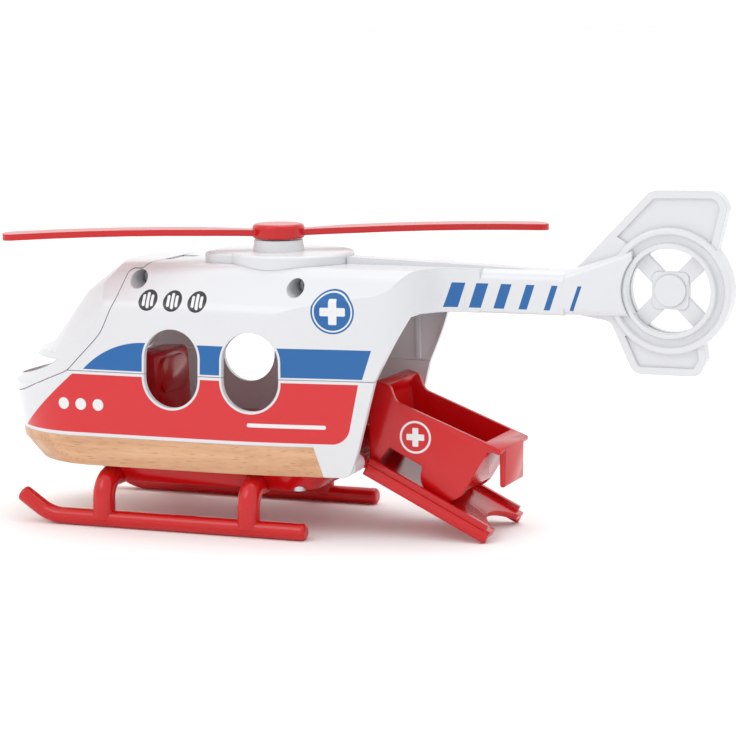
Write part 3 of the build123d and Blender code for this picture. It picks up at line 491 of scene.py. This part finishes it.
def stretcher_mark(field: Field) -> Socket:
    """A plain plus in a ring on the stretcher's flank.

    Args:
        field: Where the point lies.

    Returns:
        The signed distance's socket.
    """
    g = field.graph
    centre = (62.8, 38.4)
    ring = g.math("MAXIMUM", field.disc(centre, 6.3), g.math("MULTIPLY", field.disc(centre, 5.5), -1.0))
    plus = g.math(
        "MINIMUM", field.rounded_box(centre, (3.6, 1.2), 0.4), field.rounded_box(centre, (1.2, 3.6), 0.4)
    )
    return g.math("MINIMUM", ring, plus)


@dataclass(frozen=True)
class Moulded:
    """Moulded plastic: glossy, faintly uneven, softly rounded at its edges."""

    name: str
    color: Color
    roughness: float = 0.24
    waviness: float = 0.06
    edge: float = 0.45
    prints: tuple[Print, ...] = ()

    def build(self) -> bpy.types.Material:
        """Makes the material.

        Returns:
            The new material.
        """
        material, g, shader = blank_material(self.name)
        place = g.node("ShaderNodeTexCoord").outputs
        cloud = g.node("ShaderNodeTexNoise", {"Vector": place["Object"], "Scale": 24.0, "Detail": 1.0})
        speck = g.node("ShaderNodeTexNoise", {"Vector": place["Object"], "Scale": 900.0, "Detail": 1.0})
        tone = g.blend(cloud.outputs["Fac"], tuple(channel * 0.95 for channel in self.color), self.color)
        for mark in self.prints:
            tone = g.blend(print_field(g).inked(mark.draw(print_field(g))), tone, mark.ink.value)
        g.feed(shader.inputs["Base Color"], tone)
        rough = g.spread(speck.outputs["Fac"], 0.0, 1.0, self.roughness - 0.05, self.roughness + 0.05)
        g.feed(shader.inputs["Roughness"], rough)
        shader.inputs["IOR"].default_value = 1.52
        rounded = g.node("ShaderNodeBevel", {"Radius": self.edge * MM}, samples=4)
        height = g.math("ADD", cloud.outputs["Fac"], g.math("MULTIPLY", speck.outputs["Fac"], 0.06))
        bump = g.node(
            "ShaderNodeBump",
            {"Height": height, "Normal": rounded.outputs[0], "Strength": self.waviness, "Distance": 0.5 * MM},
        )
        g.feed(shader.inputs["Normal"], bump.outputs[0])
        return material


@dataclass(frozen=True)
class Beech:
    """Lacquered beech, with its grain along the hull and short dark flecks."""

    name: str
    light: Color
    dark: Color
    fleck: Color

    def build(self) -> bpy.types.Material:
        """Makes the material.

        Returns:
            The new material.
        """
        material, g, shader = blank_material(self.name)
        place = g.node("ShaderNodeTexCoord").outputs["Object"]
        drawn = g.node("ShaderNodeMapping", {"Vector": place, "Scale": (9.0, 260.0, 260.0)}).outputs[0]
        short = g.node("ShaderNodeMapping", {"Vector": place, "Scale": (260.0, 2200.0, 2200.0)}).outputs[0]
        grown = {"Vector": drawn, "Scale": 1.0, "Detail": 4.0, "Distortion": 0.2}
        rings = g.node("ShaderNodeTexNoise", grown)
        fibres = g.node("ShaderNodeTexNoise", {"Vector": short, "Scale": 0.8, "Detail": 3.0})
        pores = g.node("ShaderNodeTexVoronoi", {"Vector": short, "Scale": 0.55, "Randomness": 1.0})
        grain = g.math(
            "ADD",
            g.math("MULTIPLY", rings.outputs["Fac"], 0.7),
            g.math("MULTIPLY", fibres.outputs["Fac"], 0.3),
        )
        tone = g.blend(g.spread(grain, 0.36, 0.64, 0.0, 1.0), self.dark, self.light)
        flecks = g.spread(pores.outputs["Distance"], 0.1, 0.3, 0.5, 0.0)
        tone = g.blend(flecks, tone, self.fleck)
        g.feed(shader.inputs["Base Color"], tone)
        g.feed(shader.inputs["Roughness"], g.spread(grain, 0.3, 0.7, 0.5, 0.38))
        shader.inputs["Coat Weight"].default_value = 0.25
        shader.inputs["Coat Roughness"].default_value = 0.3
        rounded = g.node("ShaderNodeBevel", {"Radius": 0.6 * MM}, samples=4)
        height = g.math("SUBTRACT", grain, flecks)
        bump = g.node(
            "ShaderNodeBump",
            {"Height": height, "Normal": rounded.outputs[0], "Strength": 0.25, "Distance": 0.15 * MM},
        )
        g.feed(shader.inputs["Normal"], bump.outputs[0])
        return material


@dataclass(frozen=True)
class Metal:
    """Drawn, turned or plated metal with fine marks."""

    name: str
    color: Color
    roughness: float
    marks: tuple[float, float, float]

    def build(self) -> bpy.types.Material:
        """Makes the material.

        Returns:
            The new material.
        """
        material, g, shader = blank_material(self.name)
        place = g.node("ShaderNodeTexCoord").outputs["Object"]
        drawn = g.node("ShaderNodeMapping", {"Vector": place, "Scale": self.marks}).outputs[0]
        lines = g.node("ShaderNodeTexNoise", {"Vector": drawn, "Scale": 1.0, "Detail": 4.0}).outputs["Fac"]
        tone = g.blend(lines, tuple(channel * 0.82 for channel in self.color), self.color)
        g.feed(shader.inputs["Base Color"], tone)
        g.feed(shader.inputs["Roughness"], g.spread(lines, 0.3, 0.7, self.roughness, self.roughness + 0.12))
        shader.inputs["Metallic"].default_value = 1.0
        bump = g.node("ShaderNodeBump", {"Height": lines, "Strength": 0.15, "Distance": 0.1 * MM})
        g.feed(shader.inputs["Normal"], bump.outputs[0])
        return material


def blank_material(name: str) -> tuple[bpy.types.Material, Graph, bpy.types.Node]:
    """Starts a material with one shader.

    Args:
        name: The material's name.

    Returns:
        The material, its graph and its shader node.
    """
    material = bpy.data.materials.new(name)
    material.use_nodes = True
    material.node_tree.nodes.clear()
    g = Graph(material.node_tree)
    shader = g.node("ShaderNodeBsdfPrincipled")
    output = g.node("ShaderNodeOutputMaterial")
    g.feed(output.inputs["Surface"], shader.outputs[0])
    return material, g, shader


def print_field(g: Graph) -> Field:
    """Places a surface point in millimetres from the rotor's axis.

    Args:
        g: The graph to draw in.

    Returns:
        The point's field.
    """
    place = g.node("ShaderNodeTexCoord").outputs
    at = g.node("ShaderNodeSeparateXYZ", {"Vector": place["Object"]}).outputs
    facing = g.node("ShaderNodeSeparateXYZ", {"Vector": place["Normal"]}).outputs
    along = g.math("SUBTRACT", g.math("MULTIPLY", at["X"], 1 / MM), ROTOR_AXIS_X)
    up = g.math("MULTIPLY", at["Z"], 1 / MM)
    outward = g.math("MULTIPLY", facing["Y"], g.math("SIGN", at["Y"]))
    return Field(g, along, at["Y"], up, outward)


class Finishes:
    """All the materials, made once."""

    def __init__(self) -> None:
        """Makes the materials."""
        prints = HullPrints()
        white = srgb(217, 218, 221)
        red = srgb(196, 8, 14)
        self.white = Moulded("white_plastic", white).build()
        self.upper = Moulded("white_plastic_printed_upper", white, prints=prints.upper()).build()
        self.lower = Moulded("white_plastic_printed_lower", white, prints=prints.lower()).build()
        self.red = Moulded("red_plastic", red, roughness=0.2, waviness=0.06).build()
        mark = Print(Ink.WHITE, stretcher_mark)
        printed = Moulded("red_plastic_printed", red, roughness=0.2, waviness=0.06, prints=(mark,))
        self.red_printed = printed.build()
        self.beech = Beech(
            "beech_lacquered", srgb(214, 168, 128), srgb(190, 139, 100), srgb(146, 98, 66)
        ).build()
        self.steel = Metal("steel_wire", (0.60, 0.60, 0.61), 0.24, (900.0, 60.0, 60.0)).build()
        self.zinc = Metal("zinc_plated", (0.62, 0.63, 0.65), 0.3, (700.0, 700.0, 700.0)).build()
        self.brass = Metal("brass_turned", (0.80, 0.58, 0.26), 0.22, (60.0, 60.0, 1400.0)).build()


def paint(node: str, material: bpy.types.Material) -> None:
    """Gives a CAD node a material.

    Args:
        node: The node's name.
        material: The material.
    """
    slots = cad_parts[node].material_slots
    if not slots:
        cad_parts[node].data.materials.append(None)
    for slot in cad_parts[node].material_slots:
        slot.material = material


def softened(
    node: str, body: str, material: bpy.types.Material, width: float, segments: int = 2
) -> bpy.types.Object:
    """Makes a copy of a CAD node with softened edges stand for it.

    Args:
        node: The node's name.
        body: The body that it rides on.
        material: Its material.
        width: How wide the softened edges are, in millimetres.
        segments: How many steps each softened edge has.

    Returns:
        The new piece.
    """
    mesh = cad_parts[node].data.copy()
    mesh.name = f"{node}_soft"
    shape = bmesh.new()
    shape.from_mesh(mesh)
    bmesh.ops.remove_doubles(shape, verts=shape.verts, dist=0.002 * MM)
    bmesh.ops.dissolve_limit(
        shape, angle_limit=math.radians(0.6), verts=shape.verts, edges=shape.edges, delimit={"NORMAL"}
    )
    shape.to_mesh(mesh)
    shape.free()
    piece = bpy.data.objects.new(f"{node}_soft", mesh)
    bpy.context.scene.collection.objects.link(piece)
    mesh.materials.clear()
    mesh.materials.append(material)
    mesh.shade_smooth()
    rounding = piece.modifiers.new("edges", "BEVEL")
    rounding.width = width * MM
    rounding.segments = segments
    rounding.limit_method = "ANGLE"
    rounding.angle_limit = math.radians(35)
    rounding.use_clamp_overlap = True
    rounding.harden_normals = True
    bpy.context.view_layer.update()
    baked = bpy.data.meshes.new_from_object(piece.evaluated_get(bpy.context.evaluated_depsgraph_get()))
    piece.modifiers.clear()
    piece.data = baked
    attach(piece, body)
    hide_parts(node)
    log.info("softened %s: %d faces", node, len(baked.polygons))
    return piece


@dataclass
class Hull:
    """The printed shells, the canopy, the cowl and the beech base with what is in the cabin."""

    finishes: Finishes
    seat_edge: float = 0.9
    plate_edge: float = 0.6

    def build(self) -> None:
        """Dresses the hull."""
        paint("upper_shell_left", self.finishes.upper)
        paint("upper_shell_right", self.finishes.upper)
        paint("lower_shell", self.finishes.lower)
        paint("canopy", self.finishes.white)
        paint("engine_cowl", self.finishes.white)
        paint("hull_base", self.finishes.beech)
        paint("cabin_floor", self.finishes.red)
        softened("pilot_seat", "hull", self.finishes.red, self.seat_edge)
        softened("belly_plate", "hull", self.finishes.red, self.plate_edge)
        paint("canopy_hinge_pin", self.finishes.steel)


@dataclass
class Undercarriage:
    """The two skids."""

    finishes: Finishes

    def build(self) -> None:
        """Dresses the skids."""
        for node in ("skid_left", "skid_right"):
            paint(node, self.finishes.red)


@dataclass
class Rotors:
    """The main rotor on its shaft, and the tail rotor in its ring."""

    finishes: Finishes

    def build(self) -> None:
        """Dresses the rotors."""
        paint("main_rotor", self.finishes.red)
        paint("rotor_shaft", self.finishes.steel)
        paint("shaft_retainer", self.finishes.steel)
        paint("rotor_bush", self.finishes.brass)
        paint("tail_rotor", self.finishes.white)


@dataclass
class RearRamp:
    """The ramp, its pin, and the stretcher that slides on it."""

    finishes: Finishes
    ramp_edge: float = 0.35
    tub_edge: float = 0.5

    def build(self) -> None:
        """Dresses the ramp and the stretcher."""
        softened("ramp", "ramp", self.finishes.red, self.ramp_edge)
        softened("stretcher", "stretcher", self.finishes.red_printed, self.tub_edge)
        paint("ramp_hinge_pin", self.finishes.steel)


class ScrewTree:
    """A node tree that puts a cross-slotted screw on each point of a mesh."""

    INPUTS = ("Head Radius", "Head Height", "Shank Radius", "Shank Length", "Slot Length", "Slot Width")

    def __init__(self, material: bpy.types.Material) -> None:
        """Builds the tree.

        Args:
            material: The screws' material.
        """
        self.tree = bpy.data.node_groups.new("screws", "GeometryNodeTree")
        face = self.tree.interface
        face.new_socket("Geometry", in_out="INPUT", socket_type="NodeSocketGeometry")
        for name in self.INPUTS:
            face.new_socket(name, in_out="INPUT", socket_type="NodeSocketFloat")
        face.new_socket("Turn", in_out="INPUT", socket_type="NodeSocketVector")
        face.new_socket("Geometry", in_out="OUTPUT", socket_type="NodeSocketGeometry")
        g = Graph(self.tree)
        given = g.node("NodeGroupInput").outputs
        head = self.turned_rod(g, given["Head Radius"], given["Head Height"], 48)
        half_slot = g.math("MULTIPLY", given["Head Height"], 0.5)
        slots = [
            self.slot(g, given["Slot Length"], given["Slot Width"], half_slot),
            self.slot(g, given["Slot Width"], given["Slot Length"], half_slot),
        ]
        cut = g.node("GeometryNodeMeshBoolean", operation="DIFFERENCE")
        g.feed(cut.inputs["Mesh 1"], head)
        for slot in slots:
            g.feed(cut.inputs["Mesh 2"], slot)
        shank = self.turned_rod(g, given["Shank Radius"], given["Shank Length"], 32)
        whole = g.node("GeometryNodeJoinGeometry")
        for piece in (cut.outputs[0], shank):
            g.feed(whole.inputs[0], piece)
        placed = g.node("GeometryNodeInstanceOnPoints")
        g.feed(placed.inputs["Points"], given["Geometry"])
        g.feed(placed.inputs["Instance"], whole.outputs[0])
        g.feed(placed.inputs["Rotation"], given["Turn"])
        real = g.node("GeometryNodeRealizeInstances")
        g.feed(real.inputs[0], placed.outputs[0])
        dressed = g.node("GeometryNodeSetMaterial")
        dressed.inputs["Material"].default_value = material
        g.feed(dressed.inputs["Geometry"], real.outputs[0])
        g.feed(g.node("NodeGroupOutput").inputs[0], dressed.outputs[0])

    @staticmethod
    def turned_rod(g: Graph, radius: Value, length: Value, sides: int) -> Socket:
        """A rod that starts on the screw's seat and runs along +Z.

        Args:
            g: The graph to draw in.
            radius: Its radius.
            length: Its length.
            sides: How many sides it has.

        Returns:
            The rod's socket.
        """
        rod = g.node("GeometryNodeMeshCylinder", {"Vertices": sides, "Radius": radius, "Depth": length})
        lift = g.node("ShaderNodeCombineXYZ", {"Z": g.math("MULTIPLY", length, 0.5)})
        moved = g.node("GeometryNodeTransform")
        g.feed(moved.inputs["Geometry"], rod.outputs["Mesh"])
        g.feed(moved.inputs["Translation"], lift.outputs[0])
        return moved.outputs[0]

    @staticmethod
    def slot(g: Graph, along: Value, across: Value, depth: Value) -> Socket:
        """A block that cuts one slot of the cross, half above the head.

        Args:
            g: The graph to draw in.
            along: Its length.
            across: Its width.
            depth: How deep it cuts.

        Returns:
            The block's socket.
        """
        size = g.node("ShaderNodeCombineXYZ", {"X": along, "Y": across, "Z": g.math("MULTIPLY", depth, 2.0)})
        return g.node("GeometryNodeMeshCube", {"Size": size.outputs[0]}).outputs["Mesh"]


@dataclass
class Fasteners:
    """The cross-slotted screws under the hull and in its flank."""

    finishes: Finishes
    head_radius: float = 2.85
    head_height: float = 2.0
    shank_radius: float = 1.4
    slot_length: float = 3.2
    slot_width: float = 0.7
    base_stations: tuple[tuple[float, float], ...] = ((-66.0, 22.0), (18.0, 25.5))
    cross_stations: tuple[tuple[float, float], ...] = ((-46.6, 96.8), (19.6, 95.5))

    def group(self, node: str, heads: list[Vector], turn: tuple[float, float, float], length: float) -> None:
        """Puts a screw on each head's place and lets the group stand for a node.

        Args:
            node: The node that it stands for.
            heads: Where the outer face of each head is, in metres.
            turn: The turn that takes +Z to the screws' direction.
            length: The screws' whole length in metres.
        """
        points = bpy.data.meshes.new(f"{node}_points")
        points.from_pydata(heads, [], [])
        piece = bpy.data.objects.new(f"{node}_turned", points)
        bpy.context.scene.collection.objects.link(piece)
        growth = piece.modifiers.new("screws", "NODES")
        growth.node_group = self.tree.tree
        head = (self.head_radius, self.head_height)
        sizes = (*head, self.shank_radius, None, self.slot_length, self.slot_width)
        values = {name: value * MM for name, value in zip(ScrewTree.INPUTS, sizes) if value is not None}
        values |= {"Shank Length": length, "Turn": turn}
        for item in self.tree.tree.interface.items_tree:
            if item.in_out == "INPUT" and item.name in values:
                growth[item.identifier] = values[item.name]
        bpy.context.view_layer.update()
        found = piece.evaluated_get(bpy.context.evaluated_depsgraph_get())
        piece.data = bpy.data.meshes.new_from_object(found)
        piece.modifiers.clear()
        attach(piece, "hull")
        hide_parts(node)
        log.info("%s: %d faces", piece.name, len(piece.data.polygons))

    def build(self) -> None:
        """Makes both groups of screws."""
        self.tree = ScrewTree(self.finishes.zinc)
        low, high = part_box("base_screws")
        heads = [
            Vector(((ROTOR_AXIS_X + x) * MM, side * y * MM, low.z))
            for x, y in self.base_stations
            for side in (-1, 1)
        ]
        self.group("base_screws", heads, (0.0, 0.0, 0.0), high.z - low.z)
        low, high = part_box("shell_screws")
        heads = [Vector(((ROTOR_AXIS_X + x) * MM, low.y, z * MM)) for x, z in self.cross_stations]
        self.group("shell_screws", heads, (-math.pi / 2, 0.0, 0.0), high.y - low.y)


@dataclass(frozen=True)
class Lamp:
    """A soft rectangular lamp."""

    name: str
    place: tuple[float, float, float]
    size: tuple[float, float]
    power: float

    def build(self, target: Vector) -> None:
        """Hangs the lamp and turns it to its target.

        Args:
            target: The point that it looks at.
        """
        light = bpy.data.lights.new(self.name, "AREA")
        light.shape = "RECTANGLE"
        light.size, light.size_y = self.size
        light.energy = self.power
        holder = bpy.data.objects.new(self.name, light)
        holder.location = self.place
        holder.rotation_euler = (target - holder.location).to_track_quat("-Z", "Y").to_euler()
        bpy.context.scene.collection.objects.link(holder)


@dataclass
class Studio:
    """A pale floor, soft lamps and the camera."""

    azimuth: float = 21.302
    elevation: float = 8.265
    roll: float = -0.498
    lens: float = 129.38
    stand: tuple[float, float, float] = (407.0, -948.7, 209.5)

    def floor(self) -> None:
        """Lays the floor."""
        mesh = bpy.data.meshes.new("studio_floor")
        reach = 12.0
        corners = [(-reach, -reach, 0), (reach, -reach, 0), (reach, reach, 0), (-reach, reach, 0)]
        mesh.from_pydata(corners, [], [(0, 1, 2, 3)])
        material, g, shader = blank_material("studio_floor")
        place = g.node("ShaderNodeTexCoord").outputs["Object"]
        cloud = g.node("ShaderNodeTexNoise", {"Vector": place, "Scale": 3.0}).outputs["Fac"]
        g.feed(shader.inputs["Base Color"], g.blend(cloud, (0.95, 0.95, 0.95), (0.97, 0.97, 0.97)))
        shader.inputs["Roughness"].default_value = 0.75
        shader.inputs["Specular IOR Level"].default_value = 0.2
        mesh.materials.append(material)
        floor = bpy.data.objects.new("studio_floor", mesh)
        floor.location.z = -0.0002
        bpy.context.scene.collection.objects.link(floor)

    def lamps(self) -> None:
        """Hangs the lamps and lights the room."""
        world = bpy.data.worlds.new("studio")
        world.use_nodes = True
        background = world.node_tree.nodes["Background"]
        background.inputs["Color"].default_value = (1.0, 1.0, 1.0, 1.0)
        background.inputs["Strength"].default_value = 1.04
        bpy.context.scene.world = world
        target = Vector((0.0, 0.0, 0.06))
        for lamp in (
            Lamp("key", (-0.55, -1.0, 1.1), (0.7, 0.7), 3.0),
            Lamp("top", (0.1, 0.3, 1.3), (1.0, 1.0), 5.0),
        ):
            lamp.build(target)

    def camera(self) -> None:
        """Sets up the camera."""
        a, e, r = (math.radians(angle) for angle in (self.azimuth, self.elevation, self.roll))
        forward = Vector((-math.sin(a) * math.cos(e), math.cos(a) * math.cos(e), -math.sin(e)))
        right = Vector((math.cos(a), math.sin(a), 0.0))
        up = right.cross(forward)
        turned = right * math.cos(r) + up * math.sin(r)
        raised = up * math.cos(r) - right * math.sin(r)
        data = bpy.data.cameras.new("camera")
        data.lens = self.lens
        data.sensor_width = 36.0
        data.clip_start, data.clip_end = 0.05, 60.0
        holder = bpy.data.objects.new("camera", data)
        stand = Vector(self.stand) * MM + Vector((ROTOR_AXIS_X * MM, 0.0, 0.0))
        turn = Matrix((turned, raised, -forward)).transposed()
        holder.matrix_world = Matrix.Translation(stand) @ turn.to_4x4()
        bpy.context.scene.collection.objects.link(holder)
        bpy.context.scene.camera = holder

    def build(self) -> None:
        """Builds the studio."""
        bpy.context.scene.view_settings.view_transform = "Standard"
        self.floor()
        self.lamps()
        self.camera()


def corners(found: tuple[Vector, Vector]) -> list[list[float]]:
    """Two corners as plain lists.

    Args:
        found: The lowest and highest corner.

    Returns:
        The corners' numbers.
    """
    return [[float(value) for value in corner] for corner in found]


def main() -> None:
    """Builds every part of the scene in order."""
    logging.basicConfig(level=logging.INFO, format="%(message)s")
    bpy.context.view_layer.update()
    finishes = Finishes()
    for part in (
        Hull(finishes),
        Undercarriage(finishes),
        Rotors(finishes),
        RearRamp(finishes),
        Fasteners(finishes),
    ):
        log.info("building %s", type(part).__name__)
        part.build()
    Studio().build()


if __name__ == "__main__":
    main()
